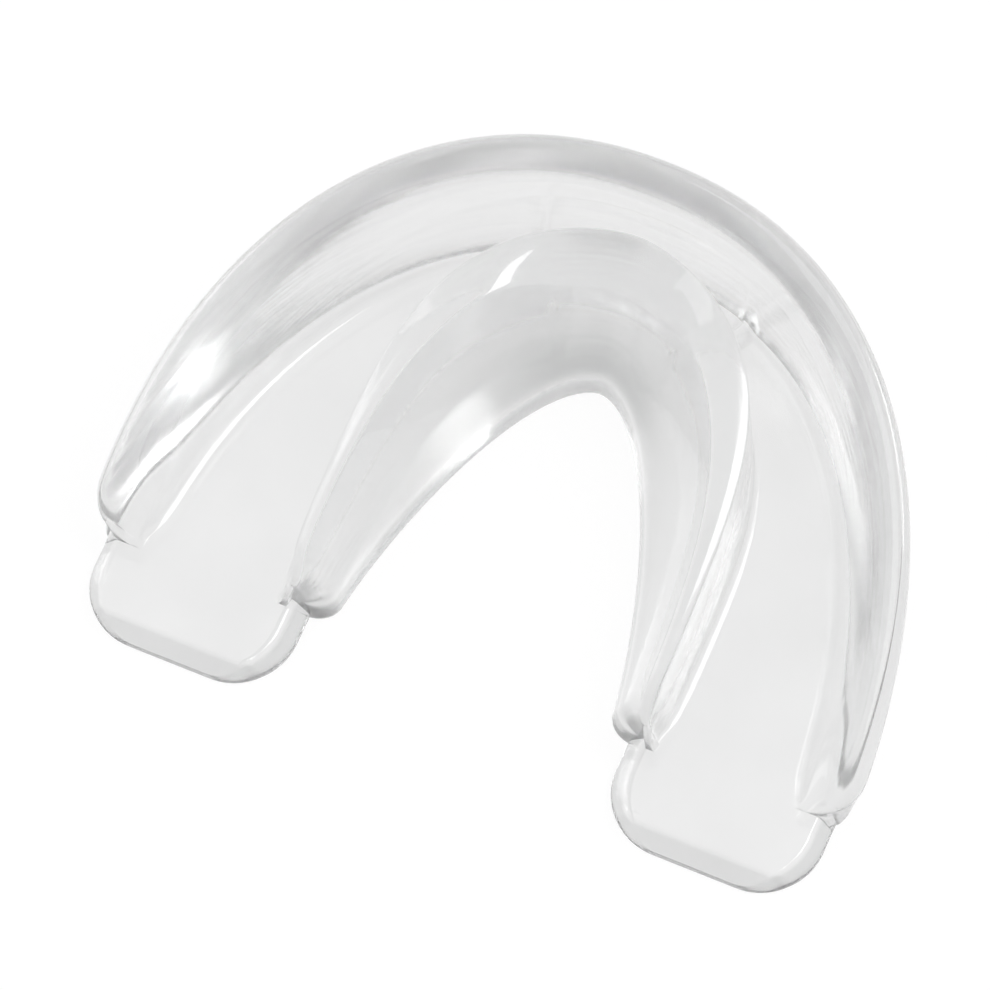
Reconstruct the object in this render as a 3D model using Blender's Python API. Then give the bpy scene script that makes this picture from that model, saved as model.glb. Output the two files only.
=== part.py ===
"""Clear boil-and-bite mouthguard: a U-shaped bite plate with rear tabs, two walls and an incisor pad.

The moulding is divided at its natural lines, so each wall and floor is a closed solid of its own.
Millimetres below are turned to metres when a mesh is made. +Z is up, +Y is the front of the mouth,
and the origin is under the middle of the guard, on the surface that it lies on.
"""

import math

import bmesh
import bpy
from mathutils import Vector

# Overall sizes, in millimetres
PLATE_THICKNESS = 2.5
REAR_Y = -23.2            # rear edge of the two tabs
WALL_END_Y = -15.7        # where the walls stop and the tabs begin
SEAT_GAP = 0.3            # between solids that touch

# Rear tabs
TAB_INNER_INSET = 1.8     # how far a tab's edges lie inside the bite plate's, on the tongue's side
TAB_OUTER_INSET = 0.7     # and on the cheek's side
TAB_CORNER = 5.0
NECK_LENGTH = 3.0         # rounded shoulder where the arch's edge turns in to the narrower tab
PLATE_EDGE = 0.7          # chamfer that stands for the plate's rounded rim

# Arches in plan, from the outside inwards: half width at the wall end and Y at the front
FOOT_HALF = 30.9          # outer edge of the bite plate
FOOT_FRONT = 22.0
RIM_HALF = 31.7           # outer edge of the outer wall's rim
RIM_FRONT = 23.1
CREASE_HALF = 27.3        # crease where the outer wall's inner face turns into a hollow cove
CREASE_FRONT = 20.5
TROUGH_OUT_HALF = 25.8    # where the cove meets the trough's floor
TROUGH_OUT_FRONT = 19.9
TROUGH_IN_HALF = 15.8     # where the inner wall meets the trough's floor
TROUGH_IN_FRONT = 17.2
CREST_HALF = 14.95        # trough-side edge of the inner wall's crest
CREST_FRONT = 17.6
BACK_HALF = 13.9          # tongue-side edge of the inner wall's crest
BACK_FRONT = 13.9
TONGUE_HALF = 11.3        # inner edge of the bite plate
TONGUE_FRONT = 9.9
TAB_INNER_X = TONGUE_HALF + TAB_INNER_INSET
TAB_OUTER_X = FOOT_HALF - TAB_OUTER_INSET

# Powers that bend each arch, as (along the arm, across the front)
OUTER_POWER_RATIOS = (2.1, 2.1)
CREASE_POWER_RATIOS = (1.9, 2.35)
CREST_POWER_RATIOS = (4.6, 1.7)
BACK_POWER_RATIOS = (3.0, 1.9)
TONGUE_POWER_RATIOS = (1.33, 1.75)

# Wall heights above the plate's underside, and the powers that shape each rise from the end to the front
RIM_END_HEIGHT = 5.5
RIM_FRONT_HEIGHT = 18.2
RIM_RISE_RATIOS = (2.8, 1.0)
CREASE_END_HEIGHT = 4.3
CREASE_FRONT_HEIGHT = 12.0
CREASE_RISE_RATIOS = (2.0, 2.9)
CREST_END_HEIGHT = 8.8
CREST_FRONT_HEIGHT = 14.3
CREST_RISE_RATIOS = (1.7, 1.0)
RIM_THICKNESS = 2.4
RIM_SHOULDER = 1.0        # height of the rim's rounded edge
RIM_FLAT_SHARES = (0.25, 0.75)    # part of the rim's thickness that is flat on top
CREST_SHOULDER = 0.8
CREST_FLAT_SHARES = (0.3, 0.8)    # part of the crest's width that is flat on top
COVE_PLAN_SHARE = 0.55    # middle of the cove, between the floor and the crease
COVE_HEIGHT_SHARE = 0.3

# Rounded rear ends of the walls: length that is rounded, and shares of height and width left at the very end
OUTER_END_LENGTH = 6.0
OUTER_END_HEIGHT_SHARE = 0.45
INNER_END_LENGTH = 3.5
INNER_END_HEIGHT_SHARE = 0.65
END_WIDTH_SHARE = 0.5

# Front of the guard
FRONT_HALF_X = 8.2        # half width of the outer wall's front shield and of the incisor pad
RAMP_HALF_X = 6.4         # half width of the tongue ramp in the inner wall
RAMP_DROP = 4.5           # how far the ramp's rear edge lies below the crest
PAD_HEIGHT = 1.2
PAD_LEAN = 0.5            # how far the pad's sides lean in
RIB_HEIGHT = 3.0
RIB_THICKNESS = 1.0

# Mesh
STATION_STEP = 1.6        # distance between sections along the arch
TANGENT_SHARE = 0.004     # share of an arch over which its direction is measured
CORNER_COUNT = 5          # sections round a tab's corner
SHARP_ANGLE = 35.0        # degrees, above which an edge is shaded sharp
MM = 0.001
CLEAR_EVA = (0.90, 0.92, 0.93, 1.0)


class Arch:
    """One plan curve of the guard, from the left wall end round the front to the right wall end.

    At the fraction v of the way from the wall end to the front, the half width is
    half * (1 - v ** bend) ** (1 / round_power).
    """

    FINE = 1200

    def __init__(self, half, front, powers):
        bend, round_power = powers
        ys = [WALL_END_Y + (front - WALL_END_Y) * i / self.FINE for i in range(self.FINE + 1)]
        xs = [half * (1 - (i / self.FINE) ** bend) ** (1 / round_power) for i in range(self.FINE + 1)]
        left = [Vector((-x, y)) for x, y in zip(xs, ys)]
        right = [Vector((x, y)) for x, y in zip(reversed(xs), reversed(ys))]
        self.points = left + right[1:]
        self.reach = [0.0]
        for a, b in zip(self.points, self.points[1:]):
            self.reach.append(self.reach[-1] + (b - a).length)
        self.length = self.reach[-1]

    def at(self, share):
        """Point at that share of the whole arch, from 0 on the left to 1 on the right."""
        goal = min(max(share, 0.0), 1.0) * self.length
        low, high = 0, len(self.reach) - 1
        while high - low > 1:
            middle = (low + high) // 2
            if self.reach[middle] <= goal:
                low = middle
            else:
                high = middle
        span = self.reach[high] - self.reach[low]
        return self.points[low].lerp(self.points[high], (goal - self.reach[low]) / span)

    def outward(self, share):
        """Unit vector in plan that points away from the mouth's middle."""
        along = self.at(share + TANGENT_SHARE) - self.at(share - TANGENT_SHARE)
        return Vector((-along.y, along.x)).normalized()

    def share_at_x(self, x):
        """Share of the arch where the curve crosses that X."""
        low, high = 0.0, 1.0
        for _ in range(40):
            middle = (low + high) / 2
            if self.at(middle).x < x:
                low = middle
            else:
                high = middle
        return (low + high) / 2


foot = Arch(FOOT_HALF, FOOT_FRONT, OUTER_POWER_RATIOS)
rim = Arch(RIM_HALF, RIM_FRONT, OUTER_POWER_RATIOS)
crease = Arch(CREASE_HALF, CREASE_FRONT, CREASE_POWER_RATIOS)
trough_out = Arch(TROUGH_OUT_HALF, TROUGH_OUT_FRONT, CREASE_POWER_RATIOS)
trough_in = Arch(TROUGH_IN_HALF, TROUGH_IN_FRONT, CREST_POWER_RATIOS)
crest = Arch(CREST_HALF, CREST_FRONT, CREST_POWER_RATIOS)
back = Arch(BACK_HALF, BACK_FRONT, BACK_POWER_RATIOS)
tongue = Arch(TONGUE_HALF, TONGUE_FRONT, TONGUE_POWER_RATIOS)
SEAT_Z = PLATE_THICKNESS + SEAT_GAP


def height(share, rear, front, powers):
    """Smooth height along an arch, level at the front.

    With t falling from 1 at the wall end to 0 at the front, it is
    rear + (front - rear) * (1 - t ** ease) ** late.
    """
    ease, late = powers
    t = abs(2 * share - 1)
    return rear + (front - rear) * (1 - t**ease) ** late


def end_shape(share, length, end_length, end_height_share):
    """Shares of height and width left near a wall's rounded rear end."""
    gone = max(0.0, 1 - min(share, 1 - share) * length / end_length)
    round_off = 1 - math.sqrt(max(0.0, 1 - gone * gone))
    return 1 - (1 - end_height_share) * round_off, 1 - (1 - END_WIDTH_SHARE) * round_off


def shaped(ring, base_z, height_share, width_share):
    """Ring of a wall, lowered towards its base and drawn in about its own middle."""
    middle = Vector((sum(p[0] for p in ring), sum(p[1] for p in ring))) / len(ring)
    made = []
    for x, y, z in ring:
        plan = middle + (Vector((x, y)) - middle) * width_share
        made.append((plan.x, plan.y, base_z + (z - base_z) * height_share))
    return made


def outer_wall_ring(share):
    """Section of the outer wall: up its outside, over the rounded rim and down the cove to the floor."""
    top = height(share, RIM_END_HEIGHT, RIM_FRONT_HEIGHT, RIM_RISE_RATIOS)
    edge = rim.at(share)
    inward = -rim.outward(share)
    bottom_out = foot.at(share)
    bottom_in = trough_out.at(share)
    inner_top = edge + inward * RIM_THICKNESS
    fold = crease.at(share)
    fold_z = height(share, CREASE_END_HEIGHT, CREASE_FRONT_HEIGHT, CREASE_RISE_RATIOS)
    cove = bottom_in.lerp(fold, COVE_PLAN_SHARE)
    cove_z = SEAT_Z + (fold_z - SEAT_Z) * COVE_HEIGHT_SHARE
    flat_start, flat_stop = RIM_FLAT_SHARES
    ring = [
        (*bottom_out, SEAT_Z),
        (*edge, top - RIM_SHOULDER),
        (*(edge + inward * RIM_THICKNESS * flat_start), top),
        (*(edge + inward * RIM_THICKNESS * flat_stop), top),
        (*inner_top, top - RIM_SHOULDER),
        (*fold, fold_z),
        (*cove, cove_z),
        (*bottom_in, SEAT_Z),
    ]
    return shaped(ring, SEAT_Z, *end_shape(share, rim.length, OUTER_END_LENGTH, OUTER_END_HEIGHT_SHARE))


def inner_wall_ring(share, drop=0.0):
    """Section of the inner wall: up from the trough's floor, over the crest and down the tongue's side."""
    top = height(share, CREST_END_HEIGHT, CREST_FRONT_HEIGHT, CREST_RISE_RATIOS)
    low_top = top - drop
    trough_top = crest.at(share)
    tongue_top = back.at(share)
    flat_start, flat_stop = CREST_FLAT_SHARES
    ring = [
        (*trough_in.at(share), SEAT_Z),
        (*trough_top, top - CREST_SHOULDER),
        (*trough_top.lerp(tongue_top, flat_start), top),
        (*trough_top.lerp(tongue_top, flat_stop), low_top),
        (*tongue_top, low_top - CREST_SHOULDER),
        (*tongue.at(share), SEAT_Z),
    ]
    return shaped(ring, SEAT_Z, *end_shape(share, crest.length, INNER_END_LENGTH, INNER_END_HEIGHT_SHARE))


def plate_ring(inner, outer):
    """Section of the bite plate between two plan points, with chamfered rims."""
    across = (outer - inner).normalized() * PLATE_EDGE
    return [
        (*(inner + across), 0.0),
        (*(outer - across), 0.0),
        (*outer, PLATE_EDGE),
        (*outer, PLATE_THICKNESS - PLATE_EDGE),
        (*(outer - across), PLATE_THICKNESS),
        (*(inner + across), PLATE_THICKNESS),
        (*inner, PLATE_THICKNESS - PLATE_EDGE),
        (*inner, PLATE_EDGE),
    ]


def quarter_steps(radius):
    """Distances from the start of a quarter circle to its end, close together where it is steep."""
    return [radius * (1 - math.cos(math.pi / 2 * i / CORNER_COUNT)) for i in range(CORNER_COUNT + 1)]


def quarter_inset(radius, distance):
    """How far a round corner lies inside its edge, at that distance from its start."""
    short = max(0.0, radius - distance)
    return radius - math.sqrt(radius**2 - short**2)


def tab_rings(side):
    """Sections of a rear tab, from its rear edge to the wall end, with round corners."""
    rings = []
    for distance in quarter_steps(TAB_CORNER) + [WALL_END_Y - REAR_Y - SEAT_GAP]:
        draw = quarter_inset(TAB_CORNER, distance)
        y = REAR_Y + distance
        inner = Vector((side * (TAB_INNER_X + draw), y))
        outer = Vector((side * (TAB_OUTER_X - draw), y))
        rings.append(plate_ring(inner, outer))
    return rings


def arch_ring(share):
    """Section of the plate along the arch, with a round shoulder to the tab's width at the wall end."""
    inner = tongue.at(share)
    outer = foot.at(share)
    neck = quarter_inset(NECK_LENGTH, min(share, 1 - share) * foot.length) / NECK_LENGTH
    across = (outer - inner).normalized()
    inner += across * TAB_INNER_INSET * neck
    outer -= across * TAB_OUTER_INSET * neck
    return plate_ring(inner, outer)


def stations(start, stop, length):
    """Shares from start to stop, about a station step apart."""
    count = max(2, round((stop - start) * length / STATION_STEP))
    return [start + (stop - start) * i / count for i in range(count + 1)]


def clear_material(name):
    """Clear moulded EVA for one solid."""
    material = bpy.data.materials.new(name)
    material.use_nodes = True
    shader = material.node_tree.nodes["Principled BSDF"]
    shader.inputs["Base Color"].default_value = CLEAR_EVA
    shader.inputs["Roughness"].default_value = 0.12
    shader.inputs["Metallic"].default_value = 0.0
    shader.inputs["Transmission Weight"].default_value = 0.9
    return material


def loft(name, rings):
    """Closed solid through the rings, in metres, as one named object."""
    bm = bmesh.new()
    made = [[bm.verts.new(Vector(p) * MM) for p in ring] for ring in rings]
    for a, b in zip(made, made[1:]):
        for i in range(len(a)):
            j = (i + 1) % len(a)
            bm.faces.new((a[i], a[j], b[j], b[i]))
    bm.faces.new(list(reversed(made[0])))
    bm.faces.new(made[-1])
    bmesh.ops.triangulate(bm, faces=bm.faces[:])
    bmesh.ops.recalc_face_normals(bm, faces=bm.faces[:])
    mesh = bpy.data.meshes.new(name)
    bm.to_mesh(mesh)
    bm.free()
    mesh.shade_smooth()
    mesh.set_sharp_from_angle(angle=math.radians(SHARP_ANGLE))
    solid = bpy.data.objects.new(name, mesh)
    mesh.materials.append(clear_material(name + "_eva"))
    bpy.context.scene.collection.objects.link(solid)
    return solid


def split(arch, half_x):
    """Shares where the front piece of an arch begins and ends, and half a seat gap as a share."""
    return arch.share_at_x(-half_x), arch.share_at_x(half_x), SEAT_GAP / 2 / arch.length


def build_walls():
    """Outer and inner walls, each as a left, a front and a right solid."""
    start, stop, gap = split(rim, FRONT_HALF_X)
    loft("outer_wall_left", [outer_wall_ring(s) for s in stations(0.0, start - gap, rim.length)])
    loft("outer_wall_front", [outer_wall_ring(s) for s in stations(start + gap, stop - gap, rim.length)])
    loft("outer_wall_right", [outer_wall_ring(s) for s in stations(stop + gap, 1.0, rim.length)])
    start, stop, gap = split(crest, RAMP_HALF_X)
    loft("inner_wall_left", [inner_wall_ring(s) for s in stations(0.0, start - gap, crest.length)])
    ramp = stations(start + gap, stop - gap, crest.length)
    loft("inner_wall_front", [inner_wall_ring(s, RAMP_DROP) for s in ramp])
    loft("inner_wall_right", [inner_wall_ring(s) for s in stations(stop + gap, 1.0, crest.length)])


def build_plate():
    """Bite plate: two arms with their rear tabs, and the front that joins them."""
    start, stop, gap = split(foot, FRONT_HALF_X)
    neck = [distance / foot.length for distance in quarter_steps(NECK_LENGTH)]
    left = neck + stations(neck[-1], start - gap, foot.length)[1:]
    front = stations(start + gap, stop - gap, foot.length)
    right = [1 - share for share in reversed(left)]
    loft("bite_plate_left", tab_rings(-1) + [arch_ring(s) for s in left])
    loft("bite_plate_front", [arch_ring(s) for s in front])
    loft("bite_plate_right", [arch_ring(s) for s in right] + list(reversed(tab_rings(1))))


def pad_ring(share, top):
    """Section of a block that fills the trough's floor between the two walls."""
    inner = trough_in.at(share)
    outer = trough_out.at(share)
    across = (outer - inner).normalized() * SEAT_GAP
    lean = (outer - inner).normalized() * PAD_LEAN
    low_in, low_out = inner + across, outer - across
    return [
        (*low_in, SEAT_Z),
        (*low_out, SEAT_Z),
        (*(low_out - lean), SEAT_Z + top),
        (*(low_in + lean), SEAT_Z + top),
    ]


def build_incisor_pad():
    """Raised floor under the front teeth, with a low rib at each end."""
    start, stop, gap = split(trough_out, FRONT_HALF_X)
    rib = RIB_THICKNESS / trough_out.length
    pad = stations(start + gap, stop - gap, trough_out.length)
    loft("incisor_pad", [pad_ring(s, PAD_HEIGHT) for s in pad])
    loft("incisor_rib_left", [pad_ring(s, RIB_HEIGHT) for s in (start - gap - rib, start - gap)])
    loft("incisor_rib_right", [pad_ring(s, RIB_HEIGHT) for s in (stop + gap, stop + gap + rib)])


def main():
    for old in list(bpy.data.objects):
        bpy.data.objects.remove(old, do_unlink=True)
    build_plate()
    build_walls()
    build_incisor_pad()
    print("solids:", ", ".join(sorted(o.name for o in bpy.data.objects)))


main()
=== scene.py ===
import math

import bpy
import numpy as np
from mathutils import Matrix, Vector


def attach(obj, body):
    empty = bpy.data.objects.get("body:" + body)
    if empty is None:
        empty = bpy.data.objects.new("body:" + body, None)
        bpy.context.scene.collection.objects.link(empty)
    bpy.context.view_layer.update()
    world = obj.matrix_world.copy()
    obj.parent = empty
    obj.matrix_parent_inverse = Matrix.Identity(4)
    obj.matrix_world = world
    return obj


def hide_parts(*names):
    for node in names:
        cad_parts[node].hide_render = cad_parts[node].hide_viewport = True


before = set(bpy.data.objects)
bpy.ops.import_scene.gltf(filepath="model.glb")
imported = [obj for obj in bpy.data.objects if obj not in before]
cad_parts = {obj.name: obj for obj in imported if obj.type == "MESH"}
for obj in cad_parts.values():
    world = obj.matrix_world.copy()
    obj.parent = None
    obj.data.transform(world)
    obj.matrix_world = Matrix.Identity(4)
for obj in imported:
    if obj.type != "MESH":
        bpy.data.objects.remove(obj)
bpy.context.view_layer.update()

mm = 0.001
scene = bpy.context.scene
scene.view_settings.view_transform = "Standard"
# light crosses many faces of the clear plastic before it comes out
lightBounces = 32
scene.cycles.max_bounces = lightBounces
scene.cycles.glossy_bounces = lightBounces
scene.cycles.transmission_bounces = lightBounces


def linear(hexColour):
    # sRGB hex to linear RGBA
    parts = np.array([int(hexColour[i:i + 2], 16) / 255 for i in (1, 3, 5)])
    low = parts / 12.92
    high = ((parts + 0.055) / 1.055) ** 2.4
    return (*np.where(parts <= 0.04045, low, high).tolist(), 1.0)


def setInputs(tree, node, inputs):
    # an input goes by its name or number, and is a plain value or a socket to link from
    for key, value in inputs.items():
        if isinstance(value, bpy.types.NodeSocket):
            tree.links.new(value, node.inputs[key])
        else:
            node.inputs[key].default_value = value


def addNode(tree, kind, settings=None, inputs=None):
    node = tree.nodes.new(kind)
    for name, value in (settings or {}).items():
        setattr(node, name, value)
    setInputs(tree, node, inputs or {})
    return node


def smoothStep(x):
    # 0 below 0, 1 above 1, and 3x^2 - 2x^3 between
    x = np.clip(x, 0.0, 1.0)
    return x * x * (3 - 2 * x)


def quarterRound(x):
    # height of a quarter circle that rises from 0 at x = 0 to 1 at x = 1
    return np.sqrt(1 - (1 - np.clip(x, 0.0, 1.0)) ** 2)


def blendOf(a, b, share):
    # straight blend from a to b, where share may be one number or one for each station
    share = np.asarray(share, dtype=float)
    if share.ndim:
        share = share[:, None]
    return a + (b - a) * share


def between(a, b, across, up):
    # a corner between two others, each a plan point and a height: shares of the way across and up
    return blendOf(a[0], b[0], across), a[1] + (b[1] - a[1]) * up


# the moulded guard, in millimetres; a share is of the length that its comment names
guard = {
    "plate": 2.5,               # bite plate's thickness
    "rearY": -23.2,             # rear edge of the tabs
    "wallEndY": -15.7,          # where the walls stop
    "tabInner": 13.1,
    "tabOuter": 30.2,
    "tabCorner": 5.0,
    "neck": 3.0,                # round shoulder where the arch's edge turns in to the tab
    # the plate's edge, which slopes
    "underInset": 1.1,          # where the flat underside begins
    "underRound": (0.15, 0.12),  # rounding at the bottom: in from the edge, and up
    "edgeHeights": (0.6, 1.5),  # two points of the edge
    "edgeLean": 0.6,            # how far the upper one leans in behind the outer wall
    "edgeTurn": 0.2,            # where the edge turns into the top, below it
    "edgeShares": (0.8, 0.4),   # turn and upper point on the tongue's side, as shares of the lip's inset
    "edgeLow": 0.3,             # share of the plate's thickness left at the foot of the tab's rear edge
    "lipInset": 1.5,            # raised line along the top of the sloping edge
    "tongueInset": 0.6,         # the same line along the arch, where the tongue's side comes down to the edge
    "lipHeight": 0.2,
    "lipWidth": 0.35,
    "lipBelow": 0.3,            # the line lifts what lies less than this below the plate's top
    # plan curves: half width at the wall end, front Y, two powers that bend the curve
    "foot": (30.9, 22.0, 2.1, 2.1),
    "rim": (31.7, 23.1, 2.1, 2.1),
    "crease": (27.3, 20.5, 1.9, 2.35),
    "troughOut": (25.8, 19.9, 1.9, 2.35),
    "troughIn": (15.8, 17.2, 4.6, 1.7),
    "crest": (14.95, 17.6, 4.6, 1.7),
    "back": (13.9, 13.9, 3.0, 1.9),
    "tongue": (11.3, 9.9, 1.33, 1.75),
    # heights above the underside: at the wall end, at the front, two powers that shape the rise
    "rimHeights": (5.5, 18.2, 2.8, 1.0),
    "creaseHeights": (4.3, 12.0, 2.0, 2.9),
    "crestHeights": (8.8, 14.3, 1.7, 1.0),
    "creaseLeast": 0.6,         # the crease stays this far above the floor
    # outer wall
    "faceStart": 0.05,          # foot of the outer face: share of the way to the rim, and its lift
    "faceLift": 0.45,
    "faceShares": ((0.25, 0.25), (0.65, 0.6)),  # two points of the face, across and up from foot to rim
    "rimThickness": 3.0,
    "rimShoulder": 2.4,
    "rimShares": ((0.0, 0.5), (0.2, 0.0), (0.6, 0.2)),  # rim: in by its thickness, down by its shoulder
    "coveShares": ((0.62, 0.34), (0.25, 0.06)),  # hollow below the crease, across and up from the floor
    "floorStart": 0.5,          # how far outside the trough's line the floor begins
    "floorShares": (0.3, 0.7),  # two points across the trough's floor
    # inner wall
    "crisp": 0.35,              # half width of a moulded edge, and the most of the way to the next corner
    "crispMost": 0.45,
    "fillet": 0.9,              # where the inner wall meets the trough's floor
    "filletRise": 0.12,
    "filletShare": 0.06,        # share of the way to the crest at the fillet's top
    "crown": 0.12,              # how far the middle of the crest's top swells
    "slopeRise": 0.51,          # share of the height at the middle of the tongue's side
    "slopeFoot": 0.75,          # share of the way from there to the lip
    # rounded rear end of each wall: length, and share of the height left
    "outerEnd": (4.0, 0.6),
    "innerEnd": (4.5, 0.35),
    "endWidth": 0.85,
    "endBehind": 0.7,           # how far a wall's end lies behind the start of its arch
    "endRise": 3.0,             # length over which the end swells out of the plate, as a quarter circle
    # where a wall's first and last corner lie flat on the tab, in from the plate's edge
    "faceLaid": (1.2, 1.8),
    "rimLaid": (1.95, 3.6),
    "crestLaid": (2.6, 1.8),
    "slopeLaid": (1.8, 1.5),
    # corners laid further in than this rise more slowly, and fully so after so much more
    "rimSlow": (2.6, 0.9),
    "crestSlow": (2.2, 0.4),
    # incisor pad, its ribs and the tongue ramp
    "padHalf": 8.2,
    "padHeight": 1.2,
    "padFade": 0.8,             # length of the slope at the pad's end
    "ribHeight": 1.9,
    "ribWidth": 1.0,
    "ribPast": 0.65,            # how far the rib stands outside the pad's end
    "ribFade": 0.9,
    "rampHalf": 6.4,
    "rampDrop": 3.2,
    "rampSide": 6.5,            # width over which the ramp's sides fade into the crest
    # stations along the arch, and points round a section
    "archPoints": 700,          # fine points from which a plan curve is measured
    "stations": 220,
    "tangentStep": 0.002,       # share of the arch to each side that gives its direction
    "endReach": 4.0,            # closer stations at the wall ends
    "endStations": 34,
    "turnReach": 2.2,           # closer stations to each side of the ribs and the ramp's sides
    "turnStations": 36,
    "tabStart": 0.04,           # first station on a tab, as the root of a share of its length
    "tabStations": 36,
    "swellStations": 20,        # closer stations on the tab where the walls begin
    "perSpan": 4,               # points between two corners of a section
}


def archLine(shape):
    # half width = half * (1 - v^bend)^(1/power), with v from 0 at the wall end to 1 at the front,
    # and both halves joined
    half, front, bend, power = shape
    v = 1 - np.linspace(1, 0, guard["archPoints"]) ** 2
    x = half * (1 - v ** bend) ** (1 / power)
    y = guard["wallEndY"] + v * (front - guard["wallEndY"])
    line = np.concatenate([np.stack([-x, y], 1), np.stack([x, y], 1)[-2::-1]])
    reach = np.concatenate([[0], np.cumsum(np.linalg.norm(np.diff(line, axis=0), axis=1))])
    return line, reach


def archPlan(name, share):
    # points of one plan curve at equal shares of its length, 0 at the left wall end and 1 at the right
    line, reach = archLine(guard[name])
    at = share * reach[-1]
    return np.stack([np.interp(at, reach, line[:, 0]), np.interp(at, reach, line[:, 1])], 1)


def archLength(name):
    return archLine(guard[name])[1][-1]


def fromWallEnd(name, share):
    # millimetres along a plan curve from the nearer wall end
    return np.minimum(share, 1 - share) * archLength(name)


def shareAtX(name, x):
    line, reach = archLine(guard[name])
    return np.interp(x, line[:, 0], reach) / reach[-1]


def heightAlong(share, heights):
    # rear + (front - rear) * (1 - t^ease)^late, t from 1 at the wall end to 0 at the front
    rear, front, ease, late = heights
    t = np.abs(2 * share - 1)
    return rear + (front - rear) * (1 - t ** ease) ** late


def stationRun():
    # shares along the arch and millimetres behind the wall ends, closer where the shape turns quickly
    length = archLength("foot")
    near = guard["endReach"] * np.linspace(0, 1, guard["endStations"]) ** 2 / length
    rib = 1 - shareAtX("troughOut", guard["padHalf"])
    ramp = 1 - shareAtX("crest", guard["rampHalf"])
    close = np.linspace(-guard["turnReach"], guard["turnReach"], guard["turnStations"]) / length
    half = np.concatenate([np.linspace(0, 0.5, guard["stations"] // 2), near, rib + close, ramp + close])
    half = np.unique(np.round(half[half <= 0.5], 6))
    share = np.concatenate([half, 1 - half[-2::-1]])
    tabLength = guard["wallEndY"] - guard["rearY"]
    fromRear = np.unique(np.concatenate([
        tabLength * np.linspace(guard["tabStart"], 1, guard["tabStations"]) ** 2,
        tabLength - guard["endBehind"] * (1 - np.linspace(0, 1, guard["swellStations"]) ** 2),
    ]))
    behind = tabLength - fromRear[:-1]
    share = np.concatenate([np.zeros(len(behind)), share, np.ones(len(behind))])
    behind = np.concatenate([behind, np.zeros(len(share) - 2 * len(behind)), behind[::-1]])
    return share, behind


def turnIn(before, corner, after):
    # three corners that make one crisp moulded edge: the edge itself and a point to each side of it
    def towards(goal):
        way = [g - c for g, c in zip(goal, corner)]
        size = np.sqrt((way[0] ** 2).sum(1) + way[1] ** 2)
        part = np.clip(guard["crisp"] / np.maximum(size, 1e-6), 0, guard["crispMost"])
        return corner[0] + way[0] * part[:, None], corner[1] + way[1] * part
    return [towards(before), corner, towards(after)]


def wallEnds(share, behind):
    # how the two walls swell out of the plate at their rear ends: lift is how far a corner has left the
    # plate, tall and wide scale the wall about its middle, and soft is a slower rise
    ends = {}
    for name, end in (("rim", "outerEnd"), ("crest", "innerEnd")):
        endLength, endHeight = guard[end]
        d = fromWallEnd(name, share) - behind + guard["endBehind"]
        gone = 1 - quarterRound(d / endLength)
        lift = quarterRound(d / guard["endRise"])
        ends[name] = {
            "lift": lift,
            "tall": lift * (1 - (1 - endHeight) * gone),
            "wide": 1 - (1 - guard["endWidth"]) * gone,
            "soft": smoothStep(d / (2 * guard["endRise"])),
        }
    return ends


def troughFloor(share):
    # height of the trough's floor: a raised pad under the front teeth, with a rib outside each end
    padEnd = shareAtX("troughOut", guard["padHalf"]) - 0.5
    past = (np.abs(share - 0.5) - padEnd) * archLength("troughOut")
    pad = guard["padHeight"] * smoothStep(0.5 - past / guard["padFade"])
    fromRib = np.abs(past - guard["ribPast"])
    rib = guard["ribHeight"] * smoothStep((guard["ribWidth"] - fromRib) / guard["ribFade"])
    return guard["plate"] + np.maximum(pad, rib)


def rampDrop(points):
    # the ramp's two sides run straight back, so the drop depends on how far a point lies from the middle
    past = np.abs(points[:, 0]) - guard["rampHalf"]
    return guard["rampDrop"] * smoothStep(0.5 - past / guard["rampSide"])


def tabOutline(made, share, behind):
    # behind the walls the section narrows to the tab's outline, and its rear edge slopes down
    inset = guard["lipInset"]
    fromRear = guard["wallEndY"] - guard["rearY"] - behind
    short = np.clip(guard["tabCorner"] - fromRear, 0, None)
    draw = guard["tabCorner"] - np.sqrt(guard["tabCorner"] ** 2 - short ** 2)
    inner = guard["tabInner"] + draw
    outer = guard["tabOuter"] - draw
    side = np.sign(share - 0.5)[:, None]
    part = (np.abs(made[:, :, 0]) - guard["tabInner"]) / (guard["tabOuter"] - guard["tabInner"])
    tabX = side * (inner[:, None] + part * (outer - inner)[:, None])
    thin = guard["edgeLow"] + (1 - guard["edgeLow"]) * np.clip(fromRear / inset, 0, 1)[:, None]
    nearTop = made[:, :, 2] > guard["plate"] - guard["lipBelow"]
    ridge = guard["lipHeight"] * np.exp(-((fromRear - inset) / guard["lipWidth"]) ** 2)[:, None] * nearTop
    tab = np.stack([tabX, made[:, :, 1] - behind[:, None], made[:, :, 2] * thin + ridge], -1)
    return np.where((behind > 0)[:, None, None], tab, made)


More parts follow.
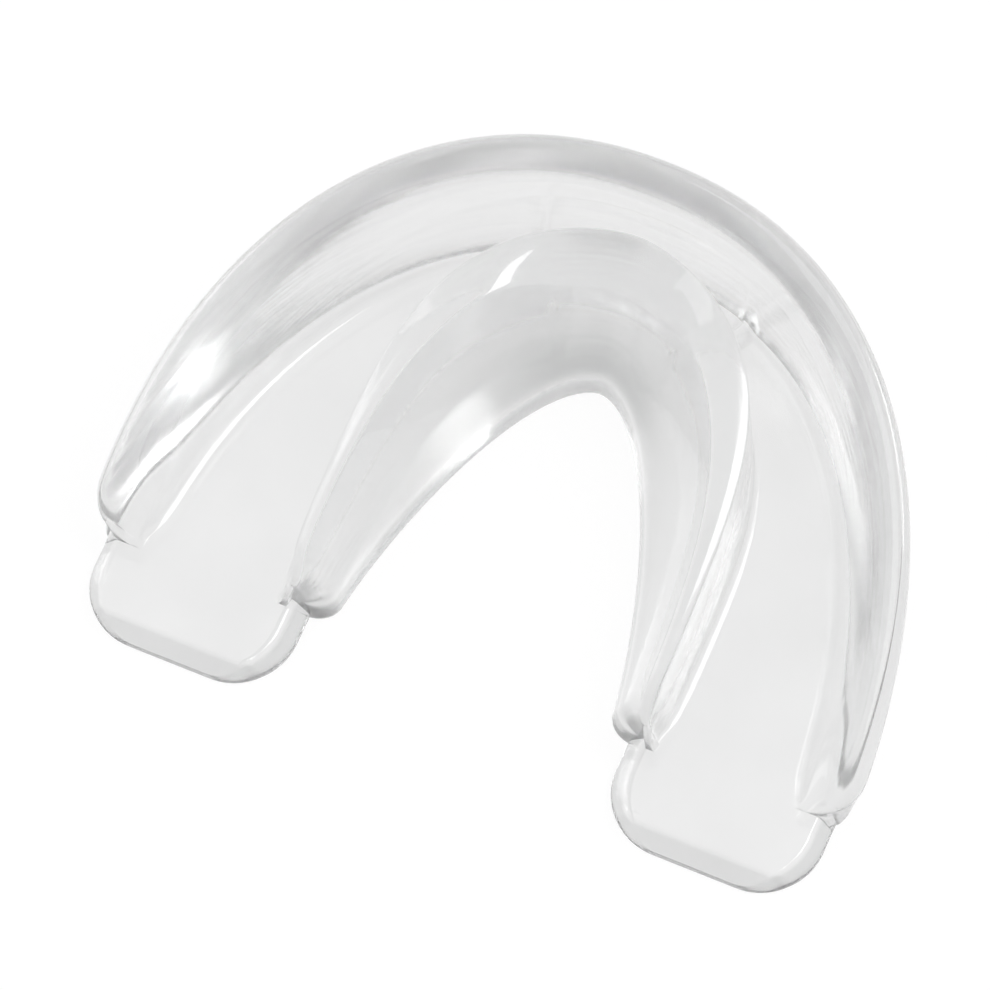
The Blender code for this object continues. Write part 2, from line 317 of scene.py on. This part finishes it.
def guardSection(share, behind):
    # corners of the moulding's closed section at every station: along the underside, up the outer face,
    # over the rim, down to the trough's floor, up the inner wall, over the crest and down the tongue's side
    names = ("foot", "rim", "crease", "troughOut", "troughIn", "crest", "back", "tongue")
    foot, rim, crease, floorOut, floorIn, crest, back, tongue = (archPlan(name, share) for name in names)
    out = foot - tongue
    out /= np.linalg.norm(out, axis=1)[:, None]
    neck = (1 - quarterRound(fromWallEnd("foot", share) / guard["neck"]))[:, None]
    tongue = tongue + out * (guard["tabInner"] - guard["tongue"][0]) * neck
    foot = foot - out * (guard["foot"][0] - guard["tabOuter"]) * neck
    step = guard["tangentStep"]
    along = archPlan("rim", np.clip(share + step, 0, 1)) - archPlan("rim", np.clip(share - step, 0, 1))
    rimAcross = np.stack([-along[:, 1], along[:, 0]], 1)
    rimAcross *= guard["rimThickness"] / np.linalg.norm(rimAcross, axis=1)[:, None]
    rimIn = rim - rimAcross

    plate = guard["plate"]
    low = np.zeros(len(share))
    flatZ = low + plate
    rimTop = heightAlong(share, guard["rimHeights"])
    crestTop = heightAlong(share, guard["crestHeights"])
    floor = troughFloor(share)
    foldZ = np.maximum(heightAlong(share, guard["creaseHeights"]), floor + guard["creaseLeast"])
    lipIn = guard["tongueInset"] + (guard["lipInset"] - guard["tongueInset"]) * neck

    ends = wallEnds(share, behind)
    rimLift = ends["rim"]["lift"]
    # for each wall: its middle, the plate's edge beside it and the way in from there
    walls = {
        "rim": ((foot + rim + rimIn + floorOut) / 4, foot, -out),
        "crest": ((floorIn + crest + back + tongue) / 4, tongue, out),
    }

    def layWall(name, laid, corners):
        # corners of a wall: drawn in about its middle near the end and laid flat on the plate behind it,
        # where the corners near the trough's floor rise more slowly than the rest
        middle, edge, inward = walls[name]
        slowFrom, slowOver = guard[name + "Slow"]
        end = ends[name]
        made = []
        for (point, z), flat in zip(corners, np.linspace(*guard[laid], len(corners))):
            point = middle + (point - middle) * end["wide"][:, None]
            rise = end["tall"] * (1 + (end["soft"] - 1) * np.clip((flat - slowFrom) / slowOver, 0, 1))
            made.append((blendOf(edge + inward * flat, point, end["lift"]), plate + (z - plate) * rise))
        return made

    footTop = (foot, flatZ)
    rimEdge = (rim, rimTop)
    rimInside = (rimIn, rimTop - guard["rimShoulder"])
    fold = (crease, foldZ)
    floorEdge = (floorOut, floor)
    coves = [between(floorEdge, fold, across, up) for across, up in guard["coveShares"]]
    filletTop = (blendOf(floorIn, crest, guard["filletShare"]), floor + guard["fillet"])
    crestEdge = (crest, crestTop)
    crestMiddle = blendOf(crest, back, 0.5)
    crestSwell = (crestMiddle, crestTop - rampDrop(crestMiddle) * 0.5 + guard["crown"])
    backEdge = (back, crestTop - rampDrop(back))
    lipLine = tongue + out * lipIn
    slope = (blendOf(back, lipLine, 0.5), plate + (backEdge[1] - plate) * guard["slopeRise"])

    roundIn, roundUp = guard["underRound"]
    edgeLower, edgeUpper = guard["edgeHeights"]
    turnShare, upperShare = guard["edgeShares"]
    edgeTop = flatZ - guard["edgeTurn"]
    corners = [
        (tongue + out * guard["underInset"], low),
        (blendOf(tongue, foot, 0.5), low),
        (foot - out * guard["underInset"], low),
        (foot - out * roundIn, low + roundUp),
        (foot, low + edgeLower),
        (blendOf(foot - out * guard["edgeLean"], foot, rimLift), low + edgeUpper),
    ]
    corners += layWall("rim", "faceLaid", [
        (blendOf(foot, rim, guard["faceStart"]), edgeTop + guard["faceLift"] * rimLift),
        *[between(footTop, rimEdge, across, up) for across, up in guard["faceShares"]],
    ])
    corners += layWall("rim", "rimLaid", [
        *[(rim - rimAcross * across, rimTop - guard["rimShoulder"] * down)
          for across, down in guard["rimShares"]],
        rimInside,
        between(rimInside, fold, 0.5, 0.5),
        *turnIn(rimInside, fold, coves[0]),
        *coves,
        (floorOut - out * guard["floorStart"], floor),
    ])
    corners += [(blendOf(floorOut, floorIn, across), floor) for across in guard["floorShares"]]
    corners += layWall("crest", "crestLaid", [
        (floorIn + out * guard["fillet"], floor),
        (floorIn, floor + guard["filletRise"]),
        filletTop,
        between((floorIn, floor), crestEdge, 0.5, 0.5),
        *turnIn(filletTop, crestEdge, crestSwell),
        crestSwell,
        *turnIn(crestSwell, backEdge, slope),
        slope,
    ])
    corners += layWall("crest", "slopeLaid", [
        between(slope, (lipLine, flatZ), guard["slopeFoot"], guard["slopeFoot"]),
        (lipLine, flatZ + guard["lipHeight"]),
    ])
    corners += [
        (tongue + out * lipIn * turnShare, edgeTop),
        (tongue + out * lipIn * upperShare, low + edgeUpper),
        (tongue, low + edgeLower),
        (tongue + out * roundIn, low + roundUp),
    ]
    made = np.stack([np.column_stack([point, z]) for point, z in corners], 1)
    return tabOutline(made, share, behind)


def roundedRings(corners, perSpan):
    # closed cubic B-spline round each section: every point is a fixed blend of four neighbouring corners
    count = corners.shape[1]
    t = np.arange(perSpan) / perSpan
    parts = np.stack([
        (1 - t) ** 3,
        3 * t ** 3 - 6 * t ** 2 + 4,
        -3 * t ** 3 + 3 * t ** 2 + 3 * t + 1,
        t ** 3,
    ], 1) / 6
    weights = sum(np.kron(np.roll(np.eye(count), k, axis=1), parts[:, k:k + 1]) for k in range(4))
    return np.einsum("kn,snc->skc", weights, corners)


# what the finish is told about each point of the guard, in millimetres unless it says otherwise: where
# painted shade greys the colour and where the walls begin
pointLook = {
    "wedgeCorner": 5.9,         # middle of the painted shade on the thick wedge, in corners before the section's last one
    "wedgeSpread": 1.3,         # in corners
    "wedgeHalf": 2.5,           # half width over which the wedge is full, behind the front teeth
    "wedgeFade": 6.5,           # width over which it fades towards the arms
    "wedgeLost": 0.72,          # share of it that is gone there
    "edgeShade": 0.55,           # painted shade on the plate's sloping edges, as a share of the wedge's
    "edgeFade": 3.0,            # length over which that fades out under the outer wall
    "edgeTop": (0.1, 0.5),      # the edge begins this far below the plate's top and is full so much lower
    "edgeFoot": (0.02, 0.2),    # the same, above the underside
    "wallRise": (0.5, 2.0),     # the walls begin this far above the plate and are full after so much more
}


def flowAndShadeOf(rings, share, behind):
    # metres along the arch, mean metres round the section, and painted shade: a bell over the thick wedge
    # behind the front teeth that fades out along the arms, and part of it on the plate's sloping edges
    along = share * archLength("crest") + np.sign(share - 0.5) * behind
    step = np.linalg.norm(np.diff(rings, axis=1, prepend=rings[:, -1:]), axis=2)
    around = step.mean(0).cumsum()
    corner = np.arange(rings.shape[1]) / guard["perSpan"] + 1
    last = rings.shape[1] / guard["perSpan"]
    bell = np.exp(-((corner - (last - pointLook["wedgeCorner"])) / pointLook["wedgeSpread"]) ** 2)
    aside = np.abs(archPlan("tongue", share)[:, 0]) - pointLook["wedgeHalf"]
    middle = 1 - pointLook["wedgeLost"] * smoothStep(aside / pointLook["wedgeFade"])
    topFrom, topOver = pointLook["edgeTop"]
    footFrom, footOver = pointLook["edgeFoot"]
    z = rings[:, :, 2]
    edge = smoothStep((guard["plate"] - topFrom - z) / topOver) * smoothStep((z - footFrom) / footOver)
    onTab = smoothStep(1 - fromWallEnd("foot", share) / pointLook["edgeFade"])
    outerSide = corner < last / 2
    edge = edge * np.where(outerSide, onTab[:, None], 1.0)
    flowAndShade = np.empty(rings.shape)
    flowAndShade[:, :, 0] = along[:, None] * mm
    flowAndShade[:, :, 1] = around[None, :] * mm
    # third value: painted shade, the greater of the wedge's bell and the sloping edges' share
    flowAndShade[:, :, 2] = np.maximum(middle[:, None] * bell[None, :], edge * pointLook["edgeShade"])
    return flowAndShade


def wallShare(rings):
    # 0 on the plate and its tabs, 1 on the walls, by the height above the plate's top
    riseFrom, riseOver = pointLook["wallRise"]
    return smoothStep((rings[:, :, 2] - guard["plate"] - riseFrom) / riseOver)


def closedTube(name, rings, flowAndShade, wall):
    # quads between neighbouring rings, and one cap at each end; the flow coordinates with their painted
    # shade, and the wall share, are kept at the points
    count, around = rings.shape[:2]
    index = np.arange(count * around).reshape(count, around)
    nextOne = np.roll(index, -1, axis=1)
    quads = np.stack([index[:-1], nextOne[:-1], nextOne[1:], index[1:]], -1).reshape(-1, 4)
    faces = quads.tolist() + [index[0][::-1].tolist(), index[-1].tolist()]
    mesh = bpy.data.meshes.new(name)
    mesh.from_pydata((rings.reshape(-1, 3) * mm).tolist(), [], faces)
    mesh.shade_smooth()
    kept = mesh.attributes.new("flowAndShade", "FLOAT_VECTOR", "POINT")
    kept.data.foreach_set("vector", flowAndShade.ravel().astype(np.float32))
    kept = mesh.attributes.new("wall", "FLOAT", "POINT")
    kept.data.foreach_set("value", wall.ravel().astype(np.float32))
    piece = bpy.data.objects.new(name, mesh)
    scene.collection.objects.link(piece)
    return piece


share, behind = stationRun()
rings = roundedRings(guardSection(share, behind), guard["perSpan"])
guardPiece = closedTube("clear_guard", rings, flowAndShadeOf(rings, share, behind), wallShare(rings))
print("guard:", rings.shape[0], "sections of", rings.shape[1], "points")


# clear EVA, injection moulded: glassy and soft, slightly milky, with the faint ripple of a polished mould;
# its colour also holds painted shade on the thick wedge and the plate's edges, and painted light on the walls
clearFinish = {
    "tint": "#f5f5f5",
    "tintDeep": "#eeeeee",
    "wallLightTint": "#f6f6f6",      # painted light: a lighter tone on the upright walls
    "ior": 1.46,
    "clear": 0.975,             # share of light that goes through, the rest is a faint milkiness
    "coat": 0.5,                # glossy outer skin
    "coatRough": 0.04,
    "roughLow": 0.12,           # roughness where the ripple's noise is low and where it is high
    "roughHigh": 0.19,
    "noiseLow": 0.2,
    "noiseHigh": 0.8,
    "rippleSize": 7.0,          # slow sink and flow of the moulding, mm
    "rippleDepth": 0.02,
    "streakPitch": 0.8,         # flow lines along the arch, mm apart, and how much longer than wide
    "streakStretch": 26.0,
    "streakDepth": 0.025,
    "wedgeShade": "#adaeae",         # painted shade on the thick wedge behind the front teeth and the plate's edges
    "absorbColour": "#c8c9c9",
    "absorbDensity": 22.0,
}


def mixColour(tree, share, first, second):
    # inputs 6 and 7 and output 2 are the mix node's colours
    mix = addNode(tree, "ShaderNodeMix", {"data_type": "RGBA"}, {"Factor": share, 6: first, 7: second})
    return mix.outputs[2]


def clearEva():
    material = bpy.data.materials.new("moulded_clear_eva")
    material.use_nodes = True
    tree = material.node_tree
    where = addNode(tree, "ShaderNodeTexCoord").outputs["Object"]
    flowAndShade = addNode(tree, "ShaderNodeAttribute", {"attribute_name": "flowAndShade"}).outputs["Vector"]
    wall = addNode(tree, "ShaderNodeAttribute", {"attribute_name": "wall"}).outputs["Fac"]
    # painted shade, carried in the point attribute's third value
    paintedShade = addNode(tree, "ShaderNodeSeparateXYZ", None, {"Vector": flowAndShade}).outputs["Z"]
    ripple = addNode(tree, "ShaderNodeTexNoise", None, {
        "Vector": where,
        "Scale": 1 / (clearFinish["rippleSize"] * mm),
        "Detail": 1.0,
    }).outputs["Fac"]
    pitch = clearFinish["streakPitch"] * mm
    lengthwise = addNode(tree, "ShaderNodeVectorMath", {"operation": "MULTIPLY"}, {
        0: flowAndShade,
        1: (1 / (pitch * clearFinish["streakStretch"]), 1 / pitch, 0),
    }).outputs[0]
    streak = addNode(tree, "ShaderNodeTexNoise", None, {
        "Vector": lengthwise,
        "Scale": 1.0,
        "Detail": 1.0,
    }).outputs["Fac"]
    slow = addNode(tree, "ShaderNodeBump", None, {
        "Height": ripple,
        "Distance": clearFinish["rippleDepth"] * mm,
    }).outputs["Normal"]
    fine = addNode(tree, "ShaderNodeBump", None, {
        "Height": streak,
        "Distance": clearFinish["streakDepth"] * mm,
        "Strength": wall,
        "Normal": slow,
    }).outputs["Normal"]
    rough = addNode(tree, "ShaderNodeMapRange", None, {
        "Value": ripple,
        "From Min": clearFinish["noiseLow"],
        "From Max": clearFinish["noiseHigh"],
        "To Min": clearFinish["roughLow"],
        "To Max": clearFinish["roughHigh"],
    }).outputs["Result"]
    tint = mixColour(tree, ripple, linear(clearFinish["tint"]), linear(clearFinish["tintDeep"]))
    # painted light: a lighter tone where the walls stand up
    upright = mixColour(tree, wall, tint, linear(clearFinish["wallLightTint"]))
    # painted shade in the base colour: greyer on the thick wedge and the plate's sloping edges
    setInputs(tree, tree.nodes["Principled BSDF"], {
        "Base Color": mixColour(tree, paintedShade, upright, linear(clearFinish["wedgeShade"])),
        "Roughness": rough,
        "Normal": fine,
        "Transmission Weight": clearFinish["clear"],
        "IOR": clearFinish["ior"],
        "Coat Weight": clearFinish["coat"],
        "Coat Roughness": clearFinish["coatRough"],
    })
    depth = addNode(tree, "ShaderNodeVolumeAbsorption", None, {
        "Color": linear(clearFinish["absorbColour"]),
        "Density": clearFinish["absorbDensity"],
    })
    setInputs(tree, tree.nodes["Material Output"], {"Volume": depth.outputs["Volume"]})
    return material


guardPiece.data.materials.append(clearEva())
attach(guardPiece, "root")
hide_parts(*[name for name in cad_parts])
print("finish: clear EVA")


# pale floor, white to the eye and through the guard, and soft studio light
studio = {
    "floorHalf": 900.0,         # mm
    "floorColour": "#f4f4f4",
    "floorRough": 0.9,
    "floorWhite": 0.93,         # share of plain white that the eye sees over the floor's own shading
    "worldAmbient": 0.9,
    "keySize": 260.0,
    "keyPower": 1.2,
    "keyPlace": (260.0, 140.0, 420.0),
    "fillSize": 420.0,
    "fillPower": 0.7,
    "fillPlace": (-360.0, -160.0, 420.0),
}


def mathNode(tree, operation, first, second):
    return addNode(tree, "ShaderNodeMath", {"operation": operation}, {0: first, 1: second}).outputs[0]


def seenRays(tree):
    # 1 for rays that the eye, a reflection or the clear plastic sees
    path = addNode(tree, "ShaderNodeLightPath").outputs
    direct = mathNode(tree, "MAXIMUM", path["Is Camera Ray"], path["Is Glossy Ray"])
    return mathNode(tree, "MAXIMUM", direct, path["Is Transmission Ray"])


def makeFloor():
    h = studio["floorHalf"] * mm
    mesh = bpy.data.meshes.new("studio_floor")
    mesh.from_pydata([(-h, -h, 0), (h, -h, 0), (h, h, 0), (-h, h, 0)], [], [(0, 1, 2, 3)])
    floor = bpy.data.objects.new("studio_floor", mesh)
    scene.collection.objects.link(floor)
    # matt white paper, mixed with plain white for the rays that are seen
    material = bpy.data.materials.new("white_paper_sweep")
    material.use_nodes = True
    tree = material.node_tree
    paper = tree.nodes["Principled BSDF"]
    setInputs(tree, paper, {"Base Color": linear(studio["floorColour"]), "Roughness": studio["floorRough"]})
    white = addNode(tree, "ShaderNodeEmission", None, {"Strength": 1.0})
    mix = addNode(tree, "ShaderNodeMixShader", None, {
        "Fac": mathNode(tree, "MULTIPLY", seenRays(tree), studio["floorWhite"]),
        1: paper.outputs["BSDF"],
        2: white.outputs["Emission"],
    })
    setInputs(tree, tree.nodes["Material Output"], {"Surface": mix.outputs["Shader"]})
    mesh.materials.append(material)


def makeWorld():
    world = bpy.data.worlds.new("studio_white")
    world.use_nodes = True
    tree = world.node_tree
    strength = addNode(tree, "ShaderNodeMapRange", None, {
        "Value": seenRays(tree),
        "To Min": studio["worldAmbient"],
        "To Max": 1.0,
    })
    setInputs(tree, tree.nodes["Background"], {
        "Color": (1, 1, 1, 1),
        "Strength": strength.outputs["Result"],
    })
    scene.world = world


def makeLamp(name):
    data = bpy.data.lights.new(name + "_softbox", "AREA")
    data.size = studio[name + "Size"] * mm
    data.energy = studio[name + "Power"]
    lamp = bpy.data.objects.new(name + "_softbox", data)
    lamp.location = Vector(studio[name + "Place"]) * mm
    lamp.rotation_euler = lamp.location.to_track_quat("Z", "Y").to_euler()
    scene.collection.objects.link(lamp)


makeFloor()
makeWorld()
makeLamp("key")
makeLamp("fill")
print("studio: floor, world and two softboxes")


# camera at the photograph's viewing angle: from behind the right arm and well above
eye = {
    "azimuth": 24.284,          # degrees
    "elevation": 67.153,
    "roll": -1.284,
    "distance": 500.0,          # mm
    "nearest": 10.0,
    "sensor": 36.0,
    "pixelsPerMm": 13.0,
    "framePixels": 990,
    "aside": -54.9,             # pixels that the aim lies off the origin, right and up
    "above": 11.06,
}


def makeCamera():
    az, el, roll = (math.radians(eye[k]) for k in ("azimuth", "elevation", "roll"))
    back = Vector((math.sin(az) * math.cos(el), -math.cos(az) * math.cos(el), math.sin(el)))
    right = Vector((math.cos(az), math.sin(az), 0))
    up = back.cross(right)
    right, up = right * math.cos(roll) + up * math.sin(roll), up * math.cos(roll) - right * math.sin(roll)
    place = back * eye["distance"] * mm
    aim = (right * eye["aside"] + up * eye["above"]) / eye["pixelsPerMm"] * mm
    back = (place - aim).normalized()
    right = (right - back * right.dot(back)).normalized()
    up = back.cross(right)
    data = bpy.data.cameras.new("photo_camera")
    data.sensor_width = eye["sensor"]
    data.lens = eye["sensor"] * eye["pixelsPerMm"] * eye["distance"] / eye["framePixels"]
    data.clip_start = eye["nearest"] * mm
    camera = bpy.data.objects.new("photo_camera", data)
    camera.matrix_world = Matrix((
        (right.x, up.x, back.x, place.x),
        (right.y, up.y, back.y, place.y),
        (right.z, up.z, back.z, place.z),
        (0, 0, 0, 1),
    ))
    scene.collection.objects.link(camera)
    scene.camera = camera


makeCamera()
print("camera set")
